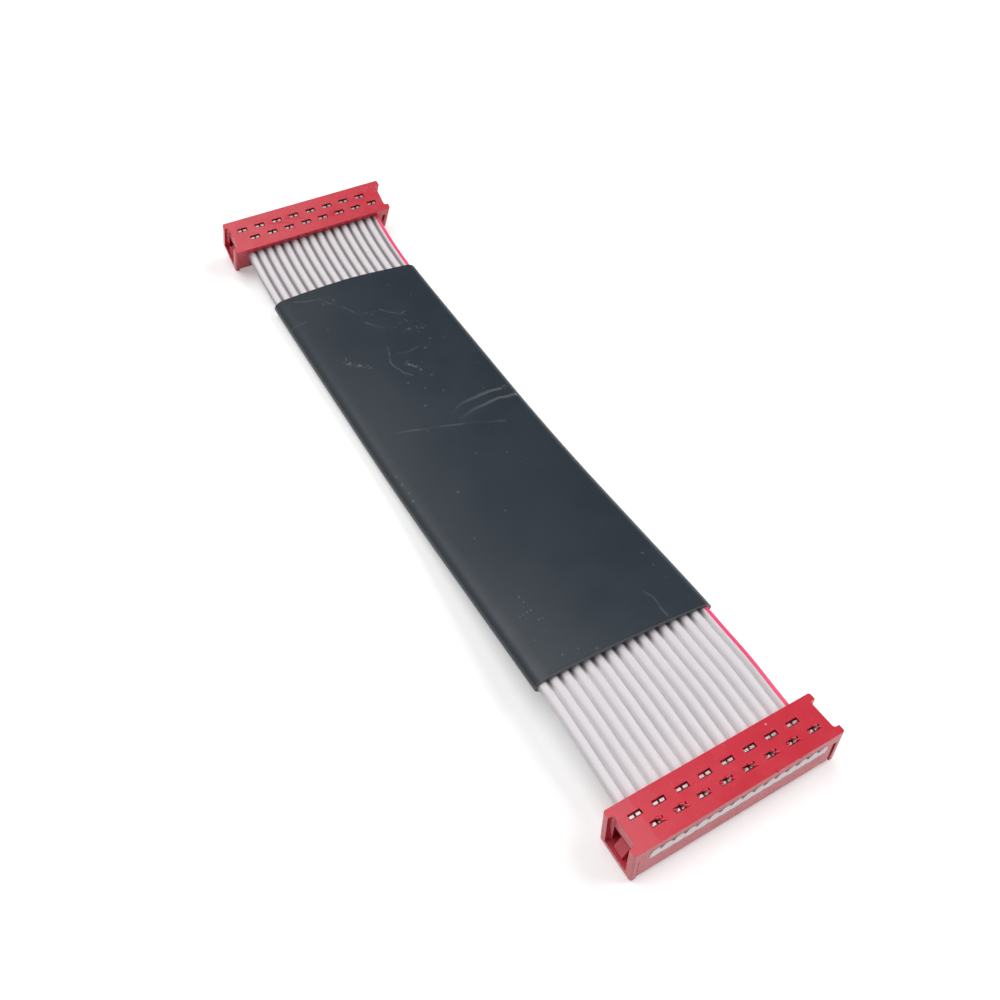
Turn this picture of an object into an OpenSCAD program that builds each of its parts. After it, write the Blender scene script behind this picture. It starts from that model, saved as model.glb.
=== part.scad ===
// Short ribbon cable with an insulation-displacement connector on each end and a heat-shrink sleeve.
// X runs across the ribbon, Y along it, Z up. The cable lies on Z = 0 as it comes to rest.

/* [Ribbon] */
// Number of conductors side by side
ways = 16; // [4:2:18]
// Distance between neighbouring conductors
pitch = 1.27; // [1.2:0.01:1.5]
// Diameter of the insulation round one conductor
lobe_d = 0.96; // [0.8:0.01:1.1]
// Thickness of the web between two conductors
web_t = 0.26; // [0.2:0.01:0.6]
// Diameter of one stranded conductor
wire_d = 0.36; // [0.26:0.01:0.4]
// Insulation left over each conductor's cut end
end_skin = 0.5; // [0.2:0.05:0.8]

/* [Sleeve] */
// Length of the sleeve
sleeve_len = 68.2; // [60:0.2:90]
// Wall of the shrunk sleeve
sleeve_wall = 0.35; // [0.2:0.05:0.6]
// Height by which the sleeve's top bulges in the middle
sleeve_bulge = 0.5; // [0.3:0.05:1]
// Room between sleeve and ribbon
sleeve_gap = 0.05; // [0.02:0.01:0.1]
// Bare ribbon between the near connector and the sleeve
near_bare = 13; // [10:0.5:20]
// Bare ribbon between the sleeve and the far connector
far_bare = 10.8; // [8:0.1:20]

/* [Lie] */
// Tilt of the near connector, its outer side raised
near_tilt = 4.7; // [3:0.1:8]
// Radius at which the ribbon bends up out of the near connector
rise_r = 27; // [20:1:40]
// Slope that the ribbon reaches there
rise_slope = 3.8; // [2:0.1:6]
// Radius of the hump at the sleeve's near mouth
hump_r = 80; // [60:1:120]
// Length of the straight slope down to the floor
slope_len = 16; // [8:0.5:20]
// Radius at which the sleeve comes down flat on the floor
sag_r = 240; // [150:5:280]
// Radius at which the sleeve lifts off the floor again
lift_r = 320; // [200:5:400]
// Slope that the sleeve's far end reaches
lift_slope = 2.5; // [1:0.1:4]
// Radius at which the ribbon bends up into the far connector
far_bend_r = 19; // [15:0.5:24]

/* [Connector] */
// Depth of a connector along the ribbon
conn_d = 4.8; // [4.4:0.05:6]
// Height of a connector
conn_h = 4.9; // [4.6:0.05:6]
// Height of the ribbon's middle above the foot of the connector
ribbon_z = 3.45; // [3.2:0.05:3.7]
// Length of the cover beyond the outermost conductor
end_margin = 1.675; // [1.5:0.025:2.5]
// Thickness of the latch frame at each end of the cover
frame_t = 0.6; // [0.4:0.05:0.9]
// Width of the frame's two legs
leg_w = 0.8; // [0.6:0.05:1]
// Height of the bar that joins the legs
bar_h = 0.55; // [0.4:0.05:0.7]
// Rounding of the upright outer corners
corner_r = 0.25; // [0.1:0.05:0.35]
// Rounding of the frame's inner corners
notch_r = 0.3; // [0.1:0.05:0.4]
// Distance between the two rows of contacts
row_gap = 1.5; // [1.3:0.05:1.8]
// Room between a contact and the ends of its window in the cover
window_end_gap = 0.1; // [0.05:0.01:0.15]
// Room between a contact and the sides of its window in the cover
window_side_gap = 0.14; // [0.1:0.01:0.2]

/* [Housing] */
// Height of the housing's rim above the foot of the cover's legs
rim_z = 0.4; // [0.2:0.05:0.6]
// Gap between the housing and the cover's legs on the ribbon's plain side, where the housing has slid to
plain_gap = 0.03; // [0.02:0.01:0.1]
// Gap between the housing and the cover's legs on the ribbon's dyed side
dyed_gap = 0.4; // [0.2:0.05:0.5]
// Thickness of the housing's long walls
wall_t = 0.8; // [0.6:0.05:1]
// Thickness of the housing's end walls
end_wall_t = 0.4; // [0.3:0.05:0.6]
// Room between the outermost contact and the end of the mating cavity
cavity_margin = 0.45; // [0.4:0.05:0.6]
// Depth of the mating cavity
cavity_h = 2; // [1.6:0.05:2.1]
// Width of the latch nose
nose_w = 1.3; // [0.8:0.05:1.8]
// Height of the latch nose
nose_h = 1.5; // [1.2:0.05:1.8]
// Height of the upright face at the nose's tip
nose_face_h = 0.4; // [0.2:0.05:0.8]
// Reach of the latch nose over the frame's bar
nose_reach = 0.3; // [0.15:0.05:0.4]

/* [Contact] */
// Thickness of the contact's sheet metal
contact_t = 0.26; // [0.2:0.02:0.34]
// Width of the fork that grips a conductor
fork_w = 1.16; // [1.1:0.02:1.2]
// Depth of the fork's tips below the cover's top
tip_depth = 0.2; // [0.1:0.02:0.3]
// Depth of the fork's funnel mouth
mouth_h = 0.12; // [0.06:0.02:0.3]
// Width of the tip of each tine
tine_tip_w = 0.46; // [0.3:0.02:0.46]
// Width of the fork's slot above and below the conductor
slot_w = 0.14; // [0.1:0.02:0.18]
// Depth of the fork's slot below the conductor
root_h = 0.25; // [0.15:0.01:0.3]
// Width of the mating blade
blade_w = 0.56; // [0.4:0.02:0.7]
// Width and length of the bevels at the blade's tip
blade_bevel = 0.15; // [0.05:0.01:0.18]
// Distance of the blade's tip inside the housing's rim
blade_inset = 0.3; // [0.2:0.05:0.6]
// Thickness of the ledge that the fork's shoulders sit on
ledge_t = 0.2; // [0.15:0.01:0.25]

/* [Fits] */
// Clearance round the ribbon, the contacts and the conductors
fit = 0.015; // [0.01:0.005:0.03]
// Clearance between the latch nose and the frame's bar
latch_gap = 0.1; // [0.05:0.01:0.2]

/* [Hidden] */
$fn = 64;
over = 1;
seam = 0.002;
seam_len = 0.02;
lobe_r = lobe_d / 2;
row_half = (ways - 1) * pitch / 2;
plate_half = row_half + end_margin;
conn_half = plate_half + frame_t;
core_half = plate_half - plain_gap;
wall_end = plate_half - dyed_gap;
pocket_x = row_half + cavity_margin + end_wall_t;
pocket_z = bar_h + latch_gap;
cavity_top = rim_z + cavity_h;
shoulder_z = cavity_top + ledge_t;
window = [fork_w + 2 * window_end_gap, contact_t + 2 * window_side_gap];

// Section of the sleeve, measured from the ribbon's middle
sleeve_r = lobe_r + sleeve_gap + sleeve_wall;
edge_strips = 16;
bulge_strips = 16;

// Slope down to the floor, from the height that is left after the hump
drop_arm = hump_r + sag_r;
drop_level = sleeve_r + sag_r + hump_r * cos(rise_slope) - ribbon_z * cos(near_tilt)
    - rise_r * (cos(near_tilt) - cos(rise_slope));
drop_slope = acos(drop_level / norm([drop_arm, slope_len])) - atan2(slope_len, drop_arm);

// Tilt at which the far connector stands with its inner lower edge on the floor
far_tilt = acos((far_bend_r * cos(lift_slope) + sleeve_r + lift_r * (1 - cos(lift_slope)))
    / (far_bend_r + ribbon_z));

// Route of the ribbon's middle, as turns with their lengths
function arc_len(r, turn) = r * turn * PI / 180;
free_len = near_bare + sleeve_len + far_bare;
rise = [arc_len(rise_r, near_tilt + rise_slope), near_tilt + rise_slope];
hump = [arc_len(hump_r, rise_slope + drop_slope), -rise_slope - drop_slope];
sag = [arc_len(sag_r, drop_slope), drop_slope];
lift = [arc_len(lift_r, lift_slope), lift_slope];
far_bend = [arc_len(far_bend_r, far_tilt - lift_slope), far_tilt - lift_slope];
floor_len = free_len - rise[0] - hump[0] - slope_len - sag[0] - lift[0] - far_bend[0];
skin = [end_skin, 0];
gripped = [conn_d - end_skin, 0];
route = [skin, gripped, rise, hump, [slope_len, 0], sag, [floor_len, 0], lift, far_bend, gripped, skin];

// A pose is the place along Y, the height and the slope
function step(pose, len, turn) =
    turn == 0
    ? [pose[0] + len * cos(pose[2]), pose[1] + len * sin(pose[2]), pose[2]]
    : let (r = len / turn * 180 / PI, slope = pose[2] + turn)
      [pose[0] + r * (sin(slope) - sin(pose[2])), pose[1] + r * (cos(pose[2]) - cos(slope)), slope];
function start_of(i) = i == 0 ? 0 : start_of(i - 1) + route[i - 1][0];
function pose_of(i, first) = i == 0 ? first : step(pose_of(i - 1, first), route[i - 1][0], route[i - 1][1]);
cable_len = start_of(len(route));

// The near connector's inner lower edge is the first guess of the origin, then the whole is centred
foot_to_cut = [-conn_d * cos(near_tilt) + ribbon_z * sin(near_tilt),
    conn_d * sin(near_tilt) + ribbon_z * cos(near_tilt)];
raw_first = [foot_to_cut[0], foot_to_cut[1], -near_tilt];
raw_last = pose_of(len(route), raw_first);
raw_far_end = raw_last[0] + ribbon_z * sin(far_tilt);
mid_y = (raw_far_end - conn_d * cos(near_tilt)) / 2;
first = raw_first - [mid_y, 0, 0];
last = raw_last - [mid_y, 0, 0];

function conductor_x(k) = (k - 1) * pitch - row_half;
function contact_y(k) = (k % 2 == 1 ? 1 : -1) * row_gap / 2;
function numbered(name, k) = str(name, k < 10 ? "_0" : "_", k);
ENDS = ["near", "far"];

// Sweeps a section along one stretch of the route, straight or as an arc
module stretch(len, turn) {
    if (turn == 0) {
        translate([0, len, 0]) rotate([90, 0, 0]) linear_extrude(len) children();
    } else {
        up = sign(turn);
        r = abs(len / turn * 180 / PI);
        translate([0, 0, up * r]) rotate([0, up * 90, 0])
            rotate_extrude(angle = abs(turn)) translate([r, 0]) rotate(up * 90) children();
    }
}

// Sweeps a section along the route between two distances from the near cut end. Every second stretch
// is thicker by the seam and laps over its neighbours, so that all of them join into one solid
module sweep(from, to) {
    for (i = [0 : len(route) - 1]) {
        $stretch = i;
        $grow = i % 2 * seam;
        lap = i % 2 * seam_len;
        a = max(from, start_of(i) - lap);
        b = min(to, start_of(i + 1) + lap);
        share = route[i][1] / route[i][0];
        pose = step(pose_of(i, first), a - start_of(i), share * (a - start_of(i)));
        if (b > a)
            translate([0, pose[0], pose[1]]) rotate([pose[2], 0, 0])
                stretch(b - a, share * (b - a)) children();
    }
}

// Puts a connector piece at one end of the cable. Its local origin is the middle of the foot, +Y inwards
module at_end(side) {
    if (side == "near") {
        translate([0, first[0], first[1]]) rotate([-near_tilt, 0, 0])
            translate([0, conn_d / 2, -ribbon_z]) children();
    } else {
        translate([0, last[0], last[1]]) rotate([far_tilt, 0, 0])
            translate([0, -conn_d / 2, -ribbon_z]) rotate([0, 0, 180]) children();
    }
}

// Section of the insulation. grow widens it for the pieces that hold it
module ribbon_section(grow = 0) {
    for (k = [1 : ways])
        translate([conductor_x(k), 0]) circle(d = lobe_d + 2 * grow);
    square([2 * row_half, web_t + 2 * grow], center = true);
}

module wire_holes(d) {
    for (k = [1 : ways])
        translate([conductor_x(k), 0]) circle(d = d);
}

module fork_cuts() {
    for (k = [1 : ways])
        translate([conductor_x(k), contact_y(k), ribbon_z])
            cube([fork_w + 2 * fit, contact_t + 2 * fit, lobe_d + over], center = true);
}

module ribbon_insulation() {
    color("gainsboro") difference() {
        sweep(0, cable_len) difference() {
            ribbon_section($grow);
            if ($stretch > 0 && $stretch < len(route) - 1) wire_holes(wire_d + 2 * fit - 2 * $grow);
        }
        for (side = ENDS) at_end(side) fork_cuts();
    }
}

module conductor(k) {
    inset = end_skin + fit;
    color("peru") sweep(inset, cable_len - inset)
        translate([conductor_x(k), 0]) circle(d = wire_d + 2 * $grow);
}

// Flat tube with round edges and a bulging top, in narrow strips. inset moves the outline inwards
module sleeve_outline(inset) {
    r = sleeve_r - inset;
    function edge(side) = [for (i = [0 : edge_strips]) let (turn = side * (180 * i / edge_strips - 90))
        [side * (row_half + r * cos(turn)), r * sin(turn)]];
    polygon(concat(
        edge(1),
        [for (i = [1 : bulge_strips - 1]) let (x = 1 - 2 * i / bulge_strips)
            [x * row_half, r + sleeve_bulge * (1 - x * x)]],
        edge(-1)
    ));
}

module heat_shrink_sleeve() {
    from = conn_d + near_bare;
    color("darkslategray") sweep(from, from + sleeve_len) difference() {
        sleeve_outline(-$grow);
        sleeve_outline(sleeve_wall + $grow);
    }
}

module rounded_rect(size, r) {
    square(size - [2 * r, 0], center = true);
    square(size - [0, 2 * r], center = true);
    for (x = [-1, 1], y = [-1, 1])
        translate([x * (size[0] / 2 - r), y * (size[1] / 2 - r)]) circle(r);
}

// The ribbon's channel through a connector. The cover's half is flat on top, and the housing's half has
// a groove for each lobe
module ribbon_channel(flat) {
    translate([0, conn_d / 2 + over, ribbon_z]) rotate([90, 0, 0]) linear_extrude(conn_d + 2 * over) {
        ribbon_section(fit);
        if (flat) square([2 * row_half, lobe_d + 2 * fit], center = true);
    }
}

module cover() {
    difference() {
        linear_extrude(conn_h) rounded_rect([2 * conn_half, conn_d], corner_r);
        translate([-plate_half, -conn_d / 2 - over, -over])
            cube([2 * plate_half, conn_d + 2 * over, ribbon_z + over]);
        for (turn = [0, 180]) rotate(turn) end_opening();
        for (k = [1 : ways])
            translate([conductor_x(k), contact_y(k), conn_h / 2])
                cube([window[0], window[1], conn_h + over], center = true);
        ribbon_channel(flat = true);
    }
}

// Opening between the legs of a latch frame, rounded where it meets the plate
module end_opening() {
    reach = frame_t + notch_r + over;
    translate([plate_half + reach / 2, 0, bar_h]) linear_extrude(conn_h)
        rounded_rect([reach, conn_d - 2 * leg_w], notch_r);
}

// Hook that the bar of the cover's frame snaps under, sloped on top so that the bar can ride over it
module latch_nose() {
    tip = plate_half + nose_reach;
    translate([0, nose_w / 2, pocket_z]) rotate([90, 0, 0]) linear_extrude(nose_w)
        polygon([
            [pocket_x - end_wall_t / 2, 0],
            [tip, 0],
            [tip, nose_face_h],
            [wall_end, nose_h],
            [pocket_x - end_wall_t / 2, nose_h]
        ]);
}

// Core with two long walls, which end short of the cover's legs on the dyed side
module housing_outline(side) {
    square([2 * core_half, conn_d - 2 * wall_t], center = true);
    rotate(side == "near" ? 0 : 180)
        translate([-core_half, -conn_d / 2]) square([core_half + wall_end, conn_d]);
}

module housing(side) {
    difference() {
        union() {
            difference() {
                translate([0, 0, rim_z]) linear_extrude(ribbon_z - rim_z) housing_outline(side);
                for (turn = [0, 180]) rotate(turn)
                    translate([pocket_x, wall_t - conn_d / 2, pocket_z])
                        cube([conn_half, conn_d - 2 * wall_t, conn_h]);
            }
            for (turn = [0, 180]) rotate(turn) latch_nose();
        }
        translate([-row_half - cavity_margin, wall_t - conn_d / 2, rim_z - over])
            cube([2 * (row_half + cavity_margin), conn_d - 2 * wall_t, cavity_h + over]);
        for (k = [1 : ways]) translate([conductor_x(k), contact_y(k), 0]) contact_seat();
        ribbon_channel(flat = false);
    }
}

// Stepped slot for one contact: narrow for the blade, wide for the fork above its shoulders
module contact_seat() {
    depth = contact_t + 2 * fit;
    translate([-blade_w / 2 - fit, -depth / 2, rim_z]) cube([blade_w + 2 * fit, depth, conn_h]);
    translate([-fork_w / 2 - fit, -depth / 2, shoulder_z - fit]) cube([fork_w + 2 * fit, depth, conn_h]);
}

// Stamped contact: fork whose slot widens round the conductor above, pointed mating blade below
module contact_outline() {
    blade_tip = rim_z + blade_inset;
    fork_tip = conn_h - tip_depth;
    slot_root = ribbon_z - wire_d / 2 - root_h;
    mouth_half = fork_w / 2 - tine_tip_w;
    difference() {
        union() {
            translate([-fork_w / 2, shoulder_z]) square([fork_w, fork_tip - shoulder_z]);
            polygon([
                [-blade_w / 2, shoulder_z + ledge_t],
                [-blade_w / 2, blade_tip + blade_bevel],
                [blade_bevel - blade_w / 2, blade_tip],
                [blade_w / 2 - blade_bevel, blade_tip],
                [blade_w / 2, blade_tip + blade_bevel],
                [blade_w / 2, shoulder_z + ledge_t]
            ]);
        }
        translate([0, ribbon_z]) circle(d = wire_d + 2 * fit);
        translate([0, slot_root + slot_w / 2]) circle(d = slot_w);
        translate([-slot_w / 2, slot_root + slot_w / 2]) square([slot_w, conn_h]);
        polygon([
            [-slot_w / 2, fork_tip - mouth_h],
            [slot_w / 2, fork_tip - mouth_h],
            [mouth_half, fork_tip],
            [mouth_half, fork_tip + over],
            [-mouth_half, fork_tip + over],
            [-mouth_half, fork_tip]
        ]);
    }
}

module contact(k) {
    color("silver") translate([conductor_x(k), contact_y(k) + contact_t / 2, 0])
        rotate([90, 0, 0]) linear_extrude(contact_t) contact_outline();
}

ribbon_insulation();
heat_shrink_sleeve();
for (side = ENDS) {
    color("crimson") at_end(side) cover();
    color("firebrick") at_end(side) housing(side);
    for (k = [1 : ways])
        at_end(side) contact(k);
}
for (k = [1 : ways])
    conductor(k);
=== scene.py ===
"""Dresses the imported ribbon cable: grey ribbon with a dyed edge, shrunk black sleeve, two red connectors."""
import math

import bpy
from mathutils import Matrix, Vector


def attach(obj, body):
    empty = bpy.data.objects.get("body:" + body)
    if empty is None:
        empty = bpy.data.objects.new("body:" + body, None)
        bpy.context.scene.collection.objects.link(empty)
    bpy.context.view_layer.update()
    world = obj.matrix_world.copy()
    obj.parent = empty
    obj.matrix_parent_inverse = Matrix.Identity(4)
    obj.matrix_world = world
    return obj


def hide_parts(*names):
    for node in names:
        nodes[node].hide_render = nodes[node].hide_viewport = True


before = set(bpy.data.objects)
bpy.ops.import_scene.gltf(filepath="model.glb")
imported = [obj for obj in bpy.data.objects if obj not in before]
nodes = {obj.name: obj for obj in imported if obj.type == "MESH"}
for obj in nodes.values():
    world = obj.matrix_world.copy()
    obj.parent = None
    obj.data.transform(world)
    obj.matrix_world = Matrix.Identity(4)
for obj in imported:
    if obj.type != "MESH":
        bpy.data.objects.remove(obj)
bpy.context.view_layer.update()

# Sizes of the part, and how far the seen forms depart from plain circles and straight cuts
MM = 0.001
WAYS = 16
PITCH = 1.27 * MM
ROW_HALF = (WAYS - 1) * PITCH / 2
LOBE_R = 0.48 * MM
LOBE_SPREAD = 1.2
EDGE_SPREAD = 1.08
WEB_HALF = 0.13 * MM
RIBBON_BOW = 0.27 * MM
SLEEVE_R = 0.88 * MM
SLEEVE_WALL = 0.35 * MM
SLEEVE_BULGE = 0.5 * MM
FLANK_SPREAD = 1.6
MOUTH_SLANT = math.radians(2.1)
CONN_D = 4.8 * MM
CONN_H = 4.9 * MM
RIBBON_Z = 3.45 * MM
ROW_GAP = 1.5 * MM
EDGE_ROUND = 0.06 * MM

# Bends and slopes of the ribbon's route, as the part's source has them
NEAR_TILT = math.radians(4.7)
RISE_R = 27 * MM
RISE_SLOPE = math.radians(3.8)
HUMP_R = 80 * MM
SLOPE_LEN = 16 * MM
SAG_R = 240 * MM
LIFT_R = 320 * MM
LIFT_SLOPE = math.radians(2.5)
FAR_BEND_R = 19 * MM

# What covers the ribbon along its route
NEAR_BARE = 13 * MM
SLEEVE_LEN = 68.2 * MM
FAR_BARE = 10.8 * MM
SLEEVE_FROM = CONN_D + NEAR_BARE
SLEEVE_TO = SLEEVE_FROM + SLEEVE_LEN

# Where the ribbon bows up, in mm: how far along it, from where across it, and the reach
BOWS = [(9.6, 4.5, 6), (91.6, -20, 5.2)]

# Slant of the sleeve's far mouth, in mm: the side across, the shift along the sleeve, and the reach
FAR_SLANT = [(-1, 0.3, 16), (1, -0.5, 9)]

# Marks on the sleeve's top, as points in mm across and along it
SCRATCHES = [
    [(-8, 34), (-4.5, 32.5), (-2.5, 29.5), (-1.5, 27.7), (0.7, 27)],
    [(1.4, 27), (3.7, 25), (4.5, 25.4)],
    [(-10.4, 29.6), (-8, 29.6)],
    [(-1.1, 25.6), (-0.4, 24.2), (0.5, 23.4)],
    [(-0.8, 20), (-1.8, 17), (-1.2, 14.7), (-0.5, 13.6)],
    [(-0.3, 18), (1.2, 17.8), (2.7, 18.1)],
    [(-6.4, 5.5), (-2.2, 4.2), (1.7, 2.8), (6, 1.1)],
    [(4.9, -28.7), (5.4, -29.8), (5.3, -32.4)],
]
SMUDGES = [
    [(2.8, 21.7), (4.1, 21.7), (5.2, 21.4)],
    [(-6.8, 19.9), (-5.8, 18.7), (-4.3, 17.5)],
    [(-6.6, 20.5), (-6.4, 20.1)],
    [(0, 16.1), (0.6, 14.9), (1, 14.1)],
]
# Creases on the sleeve's top, in mm: raised by a bump and lightened by a painted glint
CREASES = [
    [(1.4, 4), (3.6, 4.6), (7.1, 5), (9.6, 4.7)],
    [(0.9, 5), (2.5, 6.1), (5.5, 6.6), (8.4, 6.6)],
]
PIT = (9.1, 6.5)
DUST_PATCHES = [((-7, -24.5), 1.6), ((-6.4, -26.5), 1.8), ((3.5, 22.5), 3)]

# Pale chip on the near cover's top
CHIP = (6, -46.6)


def bare_selection():
    """Leaves edit mode and selects nothing, because operators act on all that is selected."""
    if bpy.context.object and bpy.context.object.mode != "OBJECT":
        bpy.ops.object.mode_set(mode="OBJECT")
    bpy.ops.object.select_all(action="DESELECT")


def take(obj):
    bare_selection()
    obj.select_set(True)
    bpy.context.view_layer.objects.active = obj


def edit(obj):
    take(obj)
    bpy.ops.object.mode_set(mode="EDIT")
    bpy.ops.mesh.select_mode(type="VERT")


def pick(obj, wanted):
    """In edit mode, selects the vertices whose place passes the test."""
    bpy.ops.mesh.select_all(action="DESELECT")
    bpy.ops.object.mode_set(mode="OBJECT")
    for v in obj.data.vertices:
        v.select = bool(wanted(v.co))
    bpy.ops.object.mode_set(mode="EDIT")


def pick_edges(obj, wanted):
    """In edit mode, selects the edges whose two ends pass the test."""
    bpy.ops.mesh.select_all(action="DESELECT")
    bpy.ops.object.mode_set(mode="OBJECT")
    for e in obj.data.edges:
        a, b = (obj.data.vertices[i].co for i in e.vertices)
        e.select = bool(wanted(a, b))
    bpy.ops.object.mode_set(mode="EDIT")


def pull(move, reach, falloff="SMOOTH", along_skin=True):
    """Moves the selected vertices and drags what is near them along, less with distance."""
    bpy.ops.transform.translate(value=move, use_proportional_edit=True, proportional_size=reach,
                                proportional_edit_falloff=falloff, use_proportional_connected=along_skin)


def apply_all(obj):
    take(obj)
    for m in list(obj.modifiers):
        bpy.ops.object.modifier_apply(modifier=m.name)


def settle(obj):
    """Puts an object's place, turn and size into its mesh."""
    take(obj)
    bpy.ops.object.transform_apply(location=True, rotation=True, scale=True)


def along(y, z, slope, length, turn):
    """The pose after a straight or an arc of the route."""
    if abs(turn) < 1e-9:
        return y + length * math.cos(slope), z + length * math.sin(slope), slope
    r, s = length / turn, slope + turn
    return y + r * (math.sin(s) - math.sin(slope)), z + r * (math.cos(slope) - math.cos(s)), s


def arc(radius, turn):
    """Length and turn of a bend."""
    return radius * abs(turn), turn


def plan_route():
    """Length and turn of each stretch of the ribbon's middle, and the pose at its near cut end."""
    arm = HUMP_R + SAG_R
    level = SLEEVE_R + SAG_R + HUMP_R * math.cos(RISE_SLOPE) - RIBBON_Z * math.cos(NEAR_TILT)
    level -= RISE_R * (math.cos(NEAR_TILT) - math.cos(RISE_SLOPE))
    drop_slope = math.acos(level / math.hypot(arm, SLOPE_LEN)) - math.atan2(SLOPE_LEN, arm)
    foot = FAR_BEND_R * math.cos(LIFT_SLOPE) + SLEEVE_R + LIFT_R * (1 - math.cos(LIFT_SLOPE))
    far_tilt = math.acos(foot / (FAR_BEND_R + RIBBON_Z))

    rise = arc(RISE_R, NEAR_TILT + RISE_SLOPE)
    hump = arc(HUMP_R, -RISE_SLOPE - drop_slope)
    sag = arc(SAG_R, drop_slope)
    lift = arc(LIFT_R, LIFT_SLOPE)
    far_bend = arc(FAR_BEND_R, far_tilt - LIFT_SLOPE)
    bent = sum(length for length, _ in (rise, hump, sag, lift, far_bend))
    on_floor = NEAR_BARE + SLEEVE_LEN + FAR_BARE - SLOPE_LEN - bent
    gripped = (CONN_D, 0)
    route = [gripped, rise, hump, (SLOPE_LEN, 0), sag, (on_floor, 0), lift, far_bend, gripped]

    y = RIBBON_Z * math.sin(NEAR_TILT) - CONN_D * math.cos(NEAR_TILT)
    z = RIBBON_Z * math.cos(NEAR_TILT) + CONN_D * math.sin(NEAR_TILT)
    end = (y, z, -NEAR_TILT)
    for length, turn in route:
        end = along(*end, length, turn)
    middle_y = (end[0] + RIBBON_Z * math.sin(far_tilt) - CONN_D * math.cos(NEAR_TILT)) / 2
    return route, (y - middle_y, z, -NEAR_TILT)


ROUTE, START = plan_route()
ROUTE_LENGTH = sum(length for length, _ in ROUTE)
NEAR_CUT = Vector((0, START[0], START[1]))


def stretches(start, end):
    """The route between two lengths, as pose, length and turn of each stretch."""
    pose, done = START, 0.0
    for length, turn in ROUTE:
        a, b = max(start - done, 0), min(end - done, length)
        if b > a + 1e-9:
            yield along(*pose, a, turn * a / length), b - a, turn * (b - a) / length
        pose = along(*pose, length, turn)
        done += length


def pose_at(length):
    """Place, forward direction and up direction of the route's middle at a length."""
    (y, z, slope), rest, turn = list(stretches(0, length))[-1]
    y, z, slope = along(y, z, slope, rest, turn)
    return Vector((0, y, z)), Vector((0, math.cos(slope), math.sin(slope))), \
        Vector((0, -math.sin(slope), math.cos(slope)))


def near_mouth():
    """The right corner of the sleeve's slanted near mouth and the direction square into it."""
    middle, forward, _ = pose_at(SLEEVE_FROM)
    corner = middle + Vector((ROW_HALF + SLEEVE_R, 0, 0))
    return corner, Matrix.Rotation(-MOUTH_SLANT, 3, "Z") @ forward


def sweep(obj, start, end, step):
    """Stands a flat section on the route, then extrudes and spins it along in steps of about this length."""
    y, z, slope = next(stretches(start, end))[0]
    obj.location, obj.rotation_euler = (0, y, z), (slope, 0, 0)
    settle(obj)
    edit(obj)
    bpy.ops.mesh.select_all(action="SELECT")
    for (y, z, slope), length, turn in stretches(start, end):
        n = max(1, round(length / step))
        if abs(turn) < 1e-9:
            move = (0, math.cos(slope) * length / n, math.sin(slope) * length / n)
            for _ in range(n):
                bpy.ops.mesh.extrude_region_move(TRANSFORM_OT_translate={"value": move})
        else:
            r = length / turn
            centre = (0, y - r * math.sin(slope), z + r * math.cos(slope))
            bpy.ops.mesh.spin(steps=n, angle=-turn, center=centre, axis=(1, 0, 0), use_auto_merge=False)
    bpy.ops.mesh.select_all(action="SELECT")
    bpy.ops.mesh.remove_doubles(threshold=1e-7)


def face_outwards():
    bpy.ops.mesh.select_all(action="SELECT")
    bpy.ops.mesh.normals_make_consistent(inside=False)
    bpy.ops.object.mode_set(mode="OBJECT")


def make_ribbon():
    """One extrusion of lobes joined by thin webs, swept along the whole route."""
    bare_selection()
    bpy.ops.mesh.primitive_circle_add(vertices=44, radius=LOBE_R, location=(-ROW_HALF, 0, 0),
                                      rotation=(math.pi / 2, 0, 0))
    ribbon = bpy.context.object
    ribbon.name = "ribbon"
    settle(ribbon)
    edit(ribbon)
    bpy.ops.mesh.select_all(action="SELECT")
    bpy.ops.transform.resize(value=(LOBE_SPREAD, 1, 1), center_override=(-ROW_HALF, 0, 0))
    lobes = ribbon.modifiers.new("lobes", "ARRAY")
    lobes.count = WAYS
    lobes.use_relative_offset = False
    lobes.use_constant_offset = True
    lobes.constant_offset_displace = (PITCH, 0, 0)
    apply_all(ribbon)
    edit(ribbon)
    for side in (-1, 1):
        pick(ribbon, lambda c: side * c.x > ROW_HALF + 1e-6)
        bpy.ops.transform.resize(value=(EDGE_SPREAD / LOBE_SPREAD, 1, 1),
                                 center_override=(side * ROW_HALF, 0, 0))
    pick(ribbon, lambda c: abs(c.z) < WEB_HALF and abs(c.x) < ROW_HALF + LOBE_R / 2)
    bpy.ops.mesh.delete(type="VERT")
    for k in range(WAYS - 1):
        middle = (k + 0.5) * PITCH - ROW_HALF
        for side in (-1, 1):
            pick(ribbon, lambda c: abs(c.x - middle) < PITCH / 2 - 0.4 * MM
                 and 0 < side * c.z < WEB_HALF * 1.1)
            bpy.ops.mesh.edge_face_add()
    pick(ribbon, lambda c: abs(c.z) < WEB_HALF * 1.1 and abs(c.x) < ROW_HALF + LOBE_R / 2)
    bpy.ops.mesh.bevel(offset=0.06 * MM, segments=2, affect="VERTICES")
    sweep(ribbon, 0, ROUTE_LENGTH, 1.1 * MM)
    bpy.ops.mesh.select_all(action="DESELECT")
    bpy.ops.mesh.select_non_manifold()
    bpy.ops.mesh.edge_face_add()
    smear_cut_end(ribbon)
    bow(ribbon)
    face_outwards()
    bpy.ops.object.shade_smooth_by_angle(angle=math.radians(50))
    return ribbon


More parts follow.
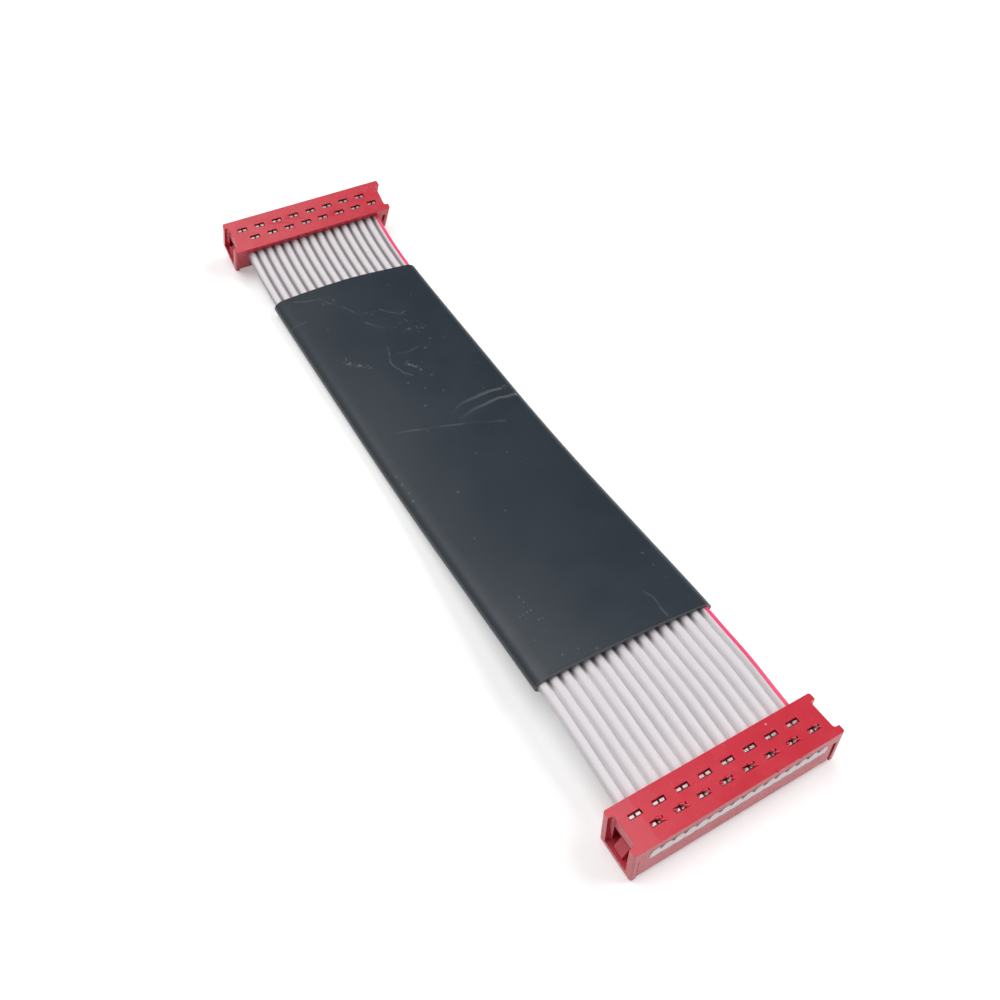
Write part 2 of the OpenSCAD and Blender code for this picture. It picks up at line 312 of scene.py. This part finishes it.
def smear_cut_end(ribbon):
    """The blade that trimmed the near end has pressed the vinyl down over the housing's grooves."""
    lip, low = 0.05 * MM, 0.66 * MM
    _, forward, up = pose_at(CONN_D / 2)
    pick(ribbon, lambda c: (c - NEAR_CUT).dot(forward) < 1e-6)
    bpy.ops.mesh.extrude_region_move(TRANSFORM_OT_translate={"value": -lip * forward})
    pick(ribbon, lambda c: (c - NEAR_CUT).dot(forward) < -1e-6 and (c - NEAR_CUT).dot(up) < -1e-6)
    bpy.ops.transform.resize(value=(1, 1, 0), center_override=NEAR_CUT - low * up)


def bow(ribbon):
    """The ribbon stands up a little between connector and sleeve, at the near end by its dyed edge only."""
    for length, from_x, reach in BOWS:
        middle, forward, _ = pose_at(length * MM)
        pick(ribbon, lambda c: abs((c - middle).dot(forward)) < 0.8 * MM and c.x > from_x * MM)
        pull((0, 0, RIBBON_BOW), reach * MM, along_skin=False)


def make_sleeve():
    """A flat tube with a bulging top and soft upper flanks, swept along the middle of the route."""
    bare_selection()
    bpy.ops.mesh.primitive_circle_add(vertices=40, radius=SLEEVE_R, rotation=(math.pi / 2, 0, 0))
    sleeve = bpy.context.object
    sleeve.name = "sleeve"
    settle(sleeve)
    edit(sleeve)
    for side in (-1, 1):
        pick(sleeve, lambda c: side * c.x > 1e-6)
        bpy.ops.transform.translate(value=(side * ROW_HALF, 0, 0))
        pick(sleeve, lambda c: side * c.x > ROW_HALF and c.z > 1e-6)
        bpy.ops.transform.resize(value=(FLANK_SPREAD, 1, 1),
                                 center_override=(side * (ROW_HALF + SLEEVE_R), 0, 0))
    pick_edges(sleeve, lambda a, b: abs(a.x - b.x) > ROW_HALF / 2)
    bpy.ops.mesh.subdivide(number_cuts=11)
    pick(sleeve, lambda c: c.z > 0 and abs(c.x) < 1e-6)
    pull((0, 0, SLEEVE_BULGE), ROW_HALF + 1.3 * MM, "INVERSE_SQUARE")
    sweep(sleeve, SLEEVE_FROM, SLEEVE_TO, 1.0 * MM)
    cut_askew(sleeve)
    face_outwards()
    wall = sleeve.modifiers.new("wall", "SOLIDIFY")
    wall.thickness = SLEEVE_WALL
    wall.offset = -1
    apply_all(sleeve)
    bpy.ops.object.shade_smooth_by_angle(angle=math.radians(50))
    return sleeve


def cut_askew(sleeve):
    """The scissors left both mouths slanted."""
    near, forward, _ = pose_at(SLEEVE_FROM)
    pick(sleeve, lambda c: abs((c - near).dot(forward)) < 1e-5)
    bpy.ops.transform.rotate(value=MOUTH_SLANT, orient_axis="Z", center_override=near_mouth()[0])
    far, forward, _ = pose_at(SLEEVE_TO)
    for side, shift, reach in FAR_SLANT:
        pick(sleeve, lambda c: side * c.x > ROW_HALF and abs((c - far).dot(forward)) < 1e-5)
        pull(shift * MM * forward, reach * MM, "LINEAR")


def make_moulding(node, name, round_over):
    """A connector piece with its CAD form and rounded-over edges."""
    bare_selection()
    obj = bpy.data.objects.new(name, nodes[node].data.copy())
    bpy.context.scene.collection.objects.link(obj)
    edit(obj)
    bpy.ops.mesh.select_all(action="SELECT")
    bpy.ops.mesh.remove_doubles(threshold=1e-6)
    bpy.ops.mesh.dissolve_limited(angle_limit=math.radians(1))
    bpy.ops.mesh.select_mode(type="EDGE")
    bpy.ops.mesh.select_all(action="DESELECT")
    bpy.ops.mesh.edges_select_sharp(sharpness=math.radians(40))
    bpy.ops.mesh.bevel(offset=round_over, segments=2, affect="EDGES", clamp_overlap=True)
    bpy.ops.object.mode_set(mode="OBJECT")
    bpy.ops.object.shade_smooth_by_angle(angle=math.radians(12))
    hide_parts(node)
    return obj


def on_near(x, y, z):
    """World place of a point of the near connector, measured from the middle of its foot."""
    _, forward, up = pose_at(CONN_D / 2)
    return NEAR_CUT + Vector((x, 0, 0)) + (y + CONN_D / 2) * forward + (z - RIBBON_Z) * up


def add_flash(cover):
    """Lumps of moulding flash at the outer row's windows and burrs on the front edge, from one lump."""
    bare_selection()
    bpy.ops.mesh.primitive_uv_sphere_add(segments=14, ring_count=8, radius=0.2 * MM)
    lump = bpy.context.object
    edit(lump)
    bpy.ops.mesh.select_all(action="SELECT")
    bpy.ops.transform.resize(value=(1.3, 0.9, 0.8))
    pick(lump, lambda c: c.x > 0.22 * MM)
    pull((0.07 * MM, -0.06 * MM, 0), 0.3 * MM)
    bpy.ops.object.mode_set(mode="OBJECT")
    bpy.ops.object.shade_smooth()
    places = []
    for k in range(2, WAYS + 1, 2):
        x, y = (k - 1) * PITCH - ROW_HALF, -ROW_GAP / 2
        places.append((x + 0.22 * MM, y + 0.22 * MM, CONN_H + 0.03 * MM, 1.1 + 0.2 * math.sin(3 * k)))
        places.append((x + 0.55 * MM, y - 0.12 * MM, CONN_H, 0.9 + 0.2 * math.sin(7 * k)))
        places.append((x - 0.6 * MM, y + 0.05 * MM, CONN_H, 0.6 + 0.2 * math.sin(5 * k)))
    places.append((3.8 * MM, -CONN_D / 2 + 0.05 * MM, CONN_H, 0.7))
    places.append((6.5 * MM, -CONN_D / 2 + 0.03 * MM, CONN_H, 0.5))
    copies = []
    for x, y, z, size in places:
        copy = bpy.data.objects.new("lump", lump.data.copy())
        bpy.context.scene.collection.objects.link(copy)
        copy.location, copy.scale = on_near(x, y, z), (size, size, size)
        settle(copy)
        copies.append(copy)
    bpy.data.objects.remove(lump)
    take(cover)
    for copy in copies:
        copy.select_set(True)
    bpy.ops.object.join()


class Shader:
    """A material's node tree, with a short call for each kind of node that this scene needs."""

    def __init__(self, name):
        self.material = bpy.data.materials.new(name)
        self.material.use_nodes = True
        self.tree = self.material.node_tree
        self.bsdf = self.tree.nodes["Principled BSDF"]
        self.place = self.new("TexCoord").outputs["Object"]

    def new(self, kind):
        return self.tree.nodes.new("ShaderNode" + kind)

    def put(self, socket, value):
        """Links another node's socket, or sets a plain value."""
        if isinstance(value, bpy.types.NodeSocket):
            self.tree.links.new(value, socket)
        else:
            socket.default_value = value

    def set(self, name, value):
        self.put(self.bsdf.inputs[name], value)

    def math(self, operation, a, b=0.0, clamp=False):
        node = self.new("Math")
        node.operation, node.use_clamp = operation, clamp
        self.put(node.inputs[0], a)
        self.put(node.inputs[1], b)
        return node.outputs[0]

    def vector(self, operation, a, b=(0, 0, 0), scale=1.0, value=False):
        node = self.new("VectorMath")
        node.operation = operation
        self.put(node.inputs[0], a)
        if operation == "SCALE":
            self.put(node.inputs["Scale"], scale)
        else:
            self.put(node.inputs[1], b)
        return node.outputs["Value" if value else "Vector"]

    def axis(self, name):
        node = self.new("SeparateXYZ")
        self.put(node.inputs[0], self.place)
        return node.outputs[name]

    def noise(self, size, detail=2.0, stretch=(1, 1, 1), output="Fac"):
        """Cloudy noise whose features are about the given size."""
        node = self.new("TexNoise")
        node.inputs["Scale"].default_value = 1 / size
        node.inputs["Detail"].default_value = detail
        self.put(node.inputs["Vector"], self.vector("MULTIPLY", self.place, stretch))
        return node.outputs[output]

    def fade(self, value, start, end, low=0.0, high=1.0):
        """Runs smoothly from low to high while the value runs from start to end."""
        node = self.new("MapRange")
        node.interpolation_type = "SMOOTHSTEP"
        names = ("Value", "From Min", "From Max", "To Min", "To Max")
        for name, v in zip(names, (value, start, end, low, high)):
            self.put(node.inputs[name], v)
        return node.outputs["Result"]

    def mix(self, factor, a, b):
        node = self.new("Mix")
        node.data_type = "RGBA"
        for name, v in (("Factor", factor), ("A", a), ("B", b)):
            self.put(node.inputs[name], v)
        return node.outputs["Result"]

    def bump(self, height, depth, strength=1.0):
        node = self.new("Bump")
        node.inputs["Strength"].default_value = strength
        node.inputs["Distance"].default_value = depth
        self.put(node.inputs["Height"], height)
        self.set("Normal", node.outputs["Normal"])

    def gap_to(self, flat, points):
        """Distance in the XY plane from a line through points given in mm."""
        nearest = None
        for (ax, ay), (bx, by) in zip(points, points[1:]):
            run = Vector((bx - ax, by - ay, 0)) * MM
            away = self.vector("SUBTRACT", flat, (ax * MM, ay * MM, 0))
            share = self.vector("DOT_PRODUCT", away, run / run.length_squared, value=True)
            foot = self.vector("SCALE", run, scale=self.math("MAXIMUM", share, 0, clamp=True))
            gap = self.vector("DISTANCE", away, foot, value=True)
            nearest = gap if nearest is None else self.math("MINIMUM", nearest, gap)
        return nearest

    def gap_to_point(self, flat, point):
        return self.vector("DISTANCE", flat, (point[0] * MM, point[1] * MM, 0), value=True)

    def depth_in_mouth(self):
        """How far a point is inside the sleeve's near mouth."""
        corner, inwards = near_mouth()
        return self.vector("DOT_PRODUCT", self.vector("SUBTRACT", self.place, corner), inwards, value=True)

    def specks(self, cell, radius, share, grid="2D"):
        """Round specks, one in some of the cells of the given size."""
        node = self.new("TexVoronoi")
        node.voronoi_dimensions = grid
        node.inputs["Scale"].default_value = 1 / cell
        self.put(node.inputs["Vector"], self.place)
        chance = self.new("SeparateColor")
        self.put(chance.inputs[0], node.outputs["Color"])
        there = self.math("LESS_THAN", chance.outputs["Red"], share)
        size = self.math("MULTIPLY", chance.outputs["Green"], radius / cell)
        return self.math("MULTIPLY", there, self.fade(node.outputs["Distance"], size, 0))

    def wear(self, obj):
        obj.data.materials.clear()
        obj.data.materials.append(self.material)


def red_plastic():
    """Moulded red plastic with slightly uneven colour and gloss, specks of dust and one chip."""
    s = Shader("red_plastic")
    colour = s.mix(s.noise(4 * MM, 3), (0.6, 0.028, 0.05, 1), (0.69, 0.042, 0.068, 1))
    # The near cover is paler beyond x = -9.1 mm, a sharp-edged patch of lighter tone.
    near_end = s.fade(s.axis("Y"), -38 * MM, -40 * MM, 0, 0.07)
    paler_left_end = s.math("MULTIPLY", near_end, s.fade(s.axis("X"), -9.1 * MM, -9.2 * MM))
    colour = s.mix(paler_left_end, colour, (0.9, 0.35, 0.42, 1))
    chip = s.fade(s.gap_to_point(s.vector("MULTIPLY", s.place, (1, 1, 0)), CHIP), 0.16 * MM, 0.05 * MM)
    dust = s.math("MAXIMUM", chip, s.specks(1.5 * MM, 0.3 * MM, 0.2, "3D"))
    colour = s.mix(dust, colour, (0.75, 0.3, 0.34, 1))
    s.set("Base Color", colour)
    s.set("Roughness", s.fade(s.noise(1.5 * MM, 4), 0.3, 0.7, 0.2, 0.3))
    s.bump(s.noise(0.12 * MM), 0.01 * MM, 0.15)
    return s


def ribbon_vinyl():
    """Grey vinyl with grooves darkened in part by painted shade, a dyed edge, a fresh cut and painted shade in
    the grooves at the sleeve's near mouth.
    """
    s = Shader("ribbon_vinyl")
    x = s.axis("X")
    # The grooves are drawn darker than the lobes: in part the thin web of vinyl there, in part painted shade.
    from_lobe = s.math("PINGPONG", s.math("ADD", x, ROW_HALF), PITCH / 2)
    grey = s.mix(s.fade(from_lobe, 0.5 * MM, 0.62 * MM), (0.78, 0.74, 0.77, 1), (0.36, 0.32, 0.35, 1))
    grey = s.mix(s.noise(3 * MM, 2, (2, 0.3, 1)), grey, (0.72, 0.69, 0.71, 1))
    # Painted shade: the grooves are darkened just outside the sleeve's near mouth, where its rim shades them.
    mouth_painted_shade = s.math("MULTIPLY", s.fade(from_lobe, 0.25 * MM, 0.55 * MM),
                   s.fade(s.depth_in_mouth(), -1.4 * MM, -0.1 * MM, 0, 0.6))
    grey = s.mix(mouth_painted_shade, grey, (0.1, 0.07, 0.07, 1))
    dyed = s.mix(s.noise(1 * MM), (0.86, 0.06, 0.18, 1), (0.93, 0.075, 0.21, 1))
    colour = s.mix(s.fade(x, ROW_HALF - 0.14 * MM, ROW_HALF - 0.1 * MM), grey, dyed)
    fresh = s.fade(s.axis("Y"), NEAR_CUT.y + 0.1 * MM, NEAR_CUT.y + 0.06 * MM, 0, 0.8)
    s.set("Base Color", s.mix(fresh, colour, (0.95, 0.93, 0.95, 1)))
    s.set("Roughness", s.fade(s.noise(2 * MM), 0.3, 0.7, 0.34, 0.44))
    s.bump(s.noise(0.3 * MM, 2, (1, 0.1, 1)), 0.01 * MM, 0.2)
    return s


def sleeve_skin():
    """Black heat-shrink with scratches, smudges, creases drawn with a painted glint, dust and a pale cut rim.
    """
    s = Shader("sleeve_skin")
    sway = s.vector("SUBTRACT", s.noise(2.5 * MM, 2, output="Color"), (0.5, 0.5, 0.5))
    flat = s.vector("ADD", s.place, s.vector("SCALE", sway, scale=0.7 * MM))
    flat = s.vector("MULTIPLY", flat, (1, 1, 0))
    uneven = s.fade(s.noise(1.5 * MM, 3), 0.35, 0.6, 0.2, 1)
    flaky = s.math("MAXIMUM", s.specks(0.3 * MM, 0.3 * MM, 0.6), s.specks(0.5 * MM, 0.4 * MM, 0.5))
    lines, flakes, ridges_and_glint = 0.0, 0.0, 0.0
    for points in SCRATCHES:
        lines = s.math("MAXIMUM", lines, s.fade(s.gap_to(flat, points), 0.2 * MM, 0.04 * MM, 0, 0.4))
    for points in SMUDGES:
        flakes = s.math("MAXIMUM", flakes, s.fade(s.gap_to(flat, points), 0.5 * MM, 0.1 * MM))
    # Painted highlight: the creases are lighter in colour, a glint along each ridge that fades towards -x;
    # their raised form is the bump below.
    for points in CREASES:
        ridges_and_glint = s.math("MAXIMUM", ridges_and_glint, s.fade(s.gap_to(flat, points), 0.35 * MM, 0.02 * MM))
    ridges_and_glint = s.math("MULTIPLY", ridges_and_glint, s.fade(s.axis("X"), 0, 7 * MM, 0.05, 1))
    marks_and_glint = s.math("MAXIMUM", s.math("MULTIPLY", lines, uneven), s.math("MULTIPLY", flakes, flaky))
    marks_and_glint = s.math("MAXIMUM", marks_and_glint, s.math("MULTIPLY", ridges_and_glint, 0.6))
    marks_and_glint = s.math("MAXIMUM", marks_and_glint, s.math("MULTIPLY", s.specks(1.6 * MM, 0.3 * MM, 0.15), 0.6))
    dusty = 0.0
    for point, reach in DUST_PATCHES:
        dusty = s.math("MAXIMUM", dusty, s.fade(s.gap_to_point(flat, point), reach * MM, 0, 0, 0.6))
    marks_and_glint = s.math("MAXIMUM", marks_and_glint, s.math("MULTIPLY", s.specks(0.45 * MM, 0.22 * MM, dusty), 0.7))
    marks_and_glint = s.math("MAXIMUM", marks_and_glint, s.fade(s.depth_in_mouth(), 0.1 * MM, 0.02 * MM, 0, 0.5))
    skin = s.mix(s.noise(9 * MM, 3), (0.016, 0.025, 0.037, 1), (0.021, 0.031, 0.044, 1))
    s.set("Base Color", s.mix(marks_and_glint, skin, (0.13, 0.14, 0.145, 1)))
    s.set("Roughness", s.fade(s.noise(5 * MM, 4), 0.3, 0.7, 0.33, 0.4))
    pit = s.fade(s.gap_to_point(flat, PIT), 0.45 * MM, 0.1 * MM)
    height = s.math("SUBTRACT", ridges_and_glint, s.math("MULTIPLY", pit, 2))
    s.bump(s.math("ADD", height, s.math("MULTIPLY", s.noise(0.25 * MM, 2), 0.08)), 0.05 * MM)
    return s


def tinned(name, dull, bright):
    """Tin on a stamped contact, cloudy and drawn lengthwise."""
    s = Shader(name)
    s.set("Base Color", s.mix(s.noise(0.3 * MM, 3), dull, bright))
    s.set("Metallic", 1.0)
    s.set("Roughness", s.fade(s.noise(0.15 * MM, 2, (1, 1, 0.2)), 0.3, 0.7, 0.3, 0.45))
    return s


def copper():
    """Copper core of a conductor."""
    s = Shader("copper_core")
    s.set("Base Color", s.mix(s.noise(0.1 * MM, 2, (1, 0.1, 1)), (0.5, 0.2, 0.09, 1), (0.68, 0.32, 0.16, 1)))
    s.set("Metallic", 1.0)
    s.set("Roughness", s.fade(s.noise(0.2 * MM), 0.3, 0.7, 0.3, 0.4))
    return s


def make_floor():
    bare_selection()
    bpy.ops.mesh.primitive_plane_add(size=3)
    floor = bpy.context.object
    floor.name = "floor"
    s = Shader("white_table")
    s.set("Base Color", (0.9, 0.9, 0.9, 1))
    s.set("Roughness", 0.9)
    rays = s.new("LightPath").outputs
    seen = s.math("MAXIMUM", rays["Is Camera Ray"], rays["Is Glossy Ray"])
    seen = s.math("MAXIMUM", seen, rays["Is Transmission Ray"])
    glow = s.fade(s.vector("LENGTH", s.place, value=True), 0.1, 0.6, 0.32, 1)
    s.set("Emission Color", (1, 1, 1, 1))
    s.set("Emission Strength", s.math("MULTIPLY", seen, glow))
    s.wear(floor)


def make_lights():
    world = bpy.data.worlds.new("studio")
    bpy.context.scene.world = world
    world.use_nodes = True
    tree = world.node_tree
    sky = tree.nodes["Background"].inputs
    sky["Color"].default_value = (1, 1, 1, 1)
    bright = tree.nodes.new("ShaderNodeMath")
    bright.operation = "MAXIMUM"
    bright.inputs[1].default_value = 0.1
    tree.links.new(tree.nodes.new("ShaderNodeLightPath").outputs["Is Camera Ray"], bright.inputs[0])
    tree.links.new(bright.outputs[0], sky["Strength"])

    for name, place, size, power in (
            ("soft_box", (-0.09, 0.18, 0.565), 0.6, 2.2),
            ("white_card", (-0.4, 0.27, 0.33), 0.5, 0.5)):
        bpy.ops.object.light_add(type="AREA", location=place)
        lamp = bpy.context.object
        lamp.name = name
        lamp.rotation_euler = (-lamp.location).to_track_quat("-Z", "Y").to_euler()
        lamp.data.shape = "DISK"
        lamp.data.size = size
        lamp.data.energy = power

    bpy.ops.object.light_add(type="SUN", rotation=(math.radians(9), math.radians(49), 0))
    key = bpy.context.object
    key.name = "key_light"
    key.data.energy = 1.8
    key.data.angle = math.radians(40)


def make_camera():
    camera = bpy.data.objects.new("camera", bpy.data.cameras.new("camera"))
    bpy.context.scene.collection.objects.link(camera)
    camera.location = Vector((-37.8509, -69.3708, 86.727)) * MM
    camera.rotation_euler = [math.radians(a) for a in (39.7611, -1.4342, -29.9437)]
    camera.data.sensor_width = 36
    camera.data.lens = 35.0269
    camera.data.clip_start = 0.001
    bpy.context.scene.camera = camera
    bpy.context.scene.view_settings.view_transform = "Standard"


make_floor()
make_lights()
make_camera()

ribbon = make_ribbon()
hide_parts("ribbon_insulation")
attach(ribbon, "root")
ribbon_vinyl().wear(ribbon)

sleeve = make_sleeve()
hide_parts("heat_shrink_sleeve")
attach(sleeve, "root")
sleeve_skin().wear(sleeve)

red = red_plastic()
for side in ("near", "far"):
    for part in ("cover", "housing"):
        moulding = make_moulding(f"{side}_{part}", f"{side}_{part}_moulding", EDGE_ROUND)
        if (side, part) == ("near", "cover"):
            add_flash(moulding)
        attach(moulding, "root")
        red.wear(moulding)

# Both tins are tinted pink, a painted reflection of the red plastic around them; the far contacts' tin is also
# darker, which is painted shade.
near_tin_painted_reflection = tinned("near_tin_painted_reflection", (0.66, 0.54, 0.53, 1), (0.84, 0.73, 0.72, 1))
far_tin_painted_shade_and_reflection = tinned("far_tin_painted_shade_and_reflection", (0.34, 0.27, 0.27, 1), (0.46, 0.38, 0.38, 1))
core = copper()
for name, node in nodes.items():
    if name.startswith("near_contact_"):
        near_tin_painted_reflection.wear(node)
    elif name.startswith("far_contact_"):
        far_tin_painted_shade_and_reflection.wear(node)
    elif name.startswith("conductor_"):
        core.wear(node)
